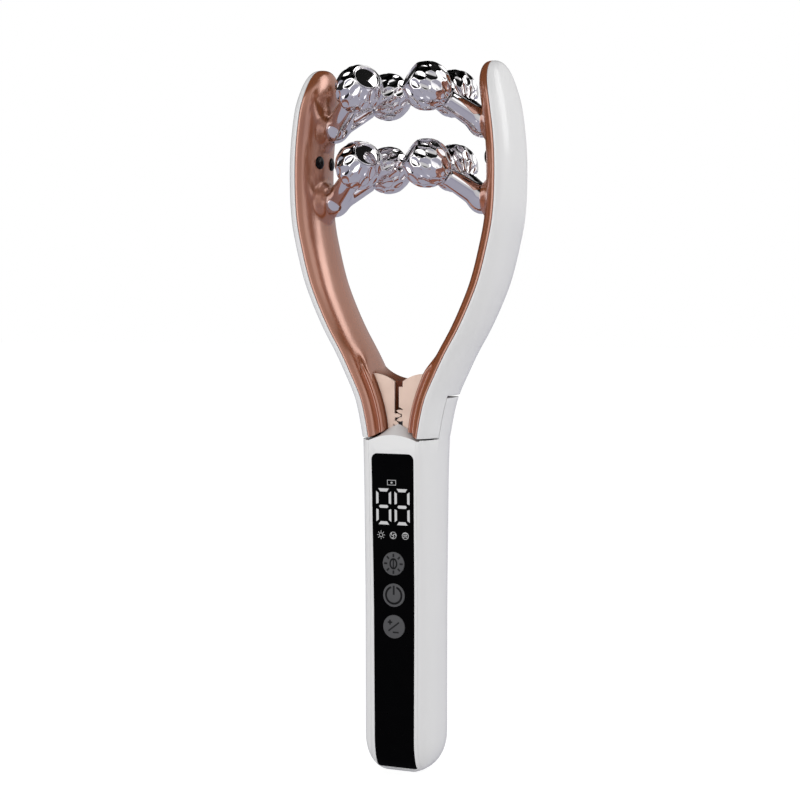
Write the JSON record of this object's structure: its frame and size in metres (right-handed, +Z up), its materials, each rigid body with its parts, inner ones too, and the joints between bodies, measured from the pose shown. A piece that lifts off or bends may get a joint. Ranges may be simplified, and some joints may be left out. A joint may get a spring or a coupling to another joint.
{
  "type": "face roller",
  "caption": "Handheld face roller: a slim handle with display and keys, two bowed sprung arms geared together at the root, and dimpled chrome balls that spin on V-shaped forks.",
  "frame": {"origin": "middle of the flat bottom end of the handle", "axes": "+Z up along the handle, -Y towards the display side, +X to the right seen from the display"},
  "size_m": [0.0804, 0.0396, 0.235],
  "materials": {
    "white_gloss": "gloss",
    "rose_gold": "plated rose gold, gloss",
    "pale_gold": "champagne, satin",
    "chrome": "polished",
    "black_gloss": "gloss",
    "key_grey": "satin",
    "steel": "plain",
    "board_green": "plain",
    "cell_wrap": "plain",
    "lens_black": "gloss"
  },
  "bodies": {
    "handle": {"handle_rear_shell": "white_gloss", "handle_front_cover": "white_gloss", "display_panel": "black_gloss", "circuit_board": "board_green", "display_module": "lens_black", "battery_cell": "cell_wrap", "charging_socket": "steel", "switch_mode": "steel", "switch_power": "steel", "switch_level": "steel", "hinge_bracket": "steel", "left_hinge_pin": "steel", "right_hinge_pin": "steel", "left_return_spring": "steel", "right_return_spring": "steel"},
    "left_arm": {"left_arm_cover": "white_gloss", "left_arm_frame": "rose_gold", "left_gear_plate": "pale_gold", "left_front_light_window": "lens_black", "left_back_light_window": "lens_black", "left_upper_fork": "chrome", "left_upper_front_axle": "steel", "left_upper_back_axle": "steel", "left_lower_fork": "chrome", "left_lower_front_axle": "steel", "left_lower_back_axle": "steel"},
    "right_arm": {"right_arm_cover": "white_gloss", "right_arm_frame": "rose_gold", "right_gear_plate": "pale_gold", "right_front_light_window": "lens_black", "right_back_light_window": "lens_black", "right_upper_fork": "chrome", "right_upper_front_axle": "steel", "right_upper_back_axle": "steel", "right_lower_fork": "chrome", "right_lower_front_axle": "steel", "right_lower_back_axle": "steel"},
    "left_upper_front_roller": {"left_upper_front_ball": "chrome", "left_upper_front_cap": "chrome"},
    "left_upper_back_roller": {"left_upper_back_ball": "chrome", "left_upper_back_cap": "chrome"},
    "left_lower_front_roller": {"left_lower_front_ball": "chrome", "left_lower_front_cap": "chrome"},
    "left_lower_back_roller": {"left_lower_back_ball": "chrome", "left_lower_back_cap": "chrome"},
    "right_upper_front_roller": {"right_upper_front_ball": "chrome", "right_upper_front_cap": "chrome"},
    "right_upper_back_roller": {"right_upper_back_ball": "chrome", "right_upper_back_cap": "chrome"},
    "right_lower_front_roller": {"right_lower_front_ball": "chrome", "right_lower_front_cap": "chrome"},
    "right_lower_back_roller": {"right_lower_back_ball": "chrome", "right_lower_back_cap": "chrome"},
    "mode_button": {"button_mode": "key_grey"},
    "power_button": {"button_power": "key_grey"},
    "level_button": {"button_level": "key_grey"}
  },
  "joints": [
    {"name": "right_arm_hinge", "type": "hinge", "parent": "handle", "child": "right_arm", "pos_m": [0.0063, 0, 0.1194], "axis": [0, 1, 0], "range_deg": [-1.5, 4], "stiffness_Nm_per_rad": 4},
    {"name": "left_arm_hinge", "type": "hinge", "parent": "handle", "child": "left_arm", "pos_m": [-0.0063, 0, 0.1194], "axis": [0, 1, 0], "range_deg": [-4, 1.5], "stiffness_Nm_per_rad": 4},
    {"name": "left_upper_front_roller_spin", "type": "hinge", "parent": "left_arm", "child": "left_upper_front_roller", "pos_m": [-0.0121, -0.01175, 0.2266], "axis": [0.6697, -0.5353, 0.5148], "continuous": true},
    {"name": "left_upper_back_roller_spin", "type": "hinge", "parent": "left_arm", "child": "left_upper_back_roller", "pos_m": [-0.0121, 0.01175, 0.2266], "axis": [0.6697, 0.5353, 0.5148], "continuous": true},
    {"name": "left_lower_front_roller_spin", "type": "hinge", "parent": "left_arm", "child": "left_lower_front_roller", "pos_m": [-0.0121, -0.01175, 0.2018], "axis": [0.6697, -0.5353, 0.5148], "continuous": true},
    {"name": "left_lower_back_roller_spin", "type": "hinge", "parent": "left_arm", "child": "left_lower_back_roller", "pos_m": [-0.0121, 0.01175, 0.2018], "axis": [0.6697, 0.5353, 0.5148], "continuous": true},
    {"name": "right_upper_front_roller_spin", "type": "hinge", "parent": "right_arm", "child": "right_upper_front_roller", "pos_m": [0.0121, -0.01175, 0.2266], "axis": [-0.6697, -0.5353, 0.5148], "continuous": true},
    {"name": "right_upper_back_roller_spin", "type": "hinge", "parent": "right_arm", "child": "right_upper_back_roller", "pos_m": [0.0121, 0.01175, 0.2266], "axis": [-0.6697, 0.5353, 0.5148], "continuous": true},
    {"name": "right_lower_front_roller_spin", "type": "hinge", "parent": "right_arm", "child": "right_lower_front_roller", "pos_m": [0.0121, -0.01175, 0.2018], "axis": [-0.6697, -0.5353, 0.5148], "continuous": true},
    {"name": "right_lower_back_roller_spin", "type": "hinge", "parent": "right_arm", "child": "right_lower_back_roller", "pos_m": [0.0121, 0.01175, 0.2018], "axis": [-0.6697, 0.5353, 0.5148], "continuous": true},
    {"name": "mode_button_press", "type": "slide", "parent": "handle", "child": "mode_button", "axis": [0, 1, 0], "range_m": [0, 0.0004], "stiffness_N_per_m": 1500},
    {"name": "power_button_press", "type": "slide", "parent": "handle", "child": "power_button", "axis": [0, 1, 0], "range_m": [0, 0.0004], "stiffness_N_per_m": 1500},
    {"name": "level_button_press", "type": "slide", "parent": "handle", "child": "level_button", "axis": [0, 1, 0], "range_m": [0, 0.0004], "stiffness_N_per_m": 1500}
  ],
  "couplings": [
    {"joint": "left_arm_hinge", "follows": "right_arm_hinge", "ratio": -1}
  ]
}
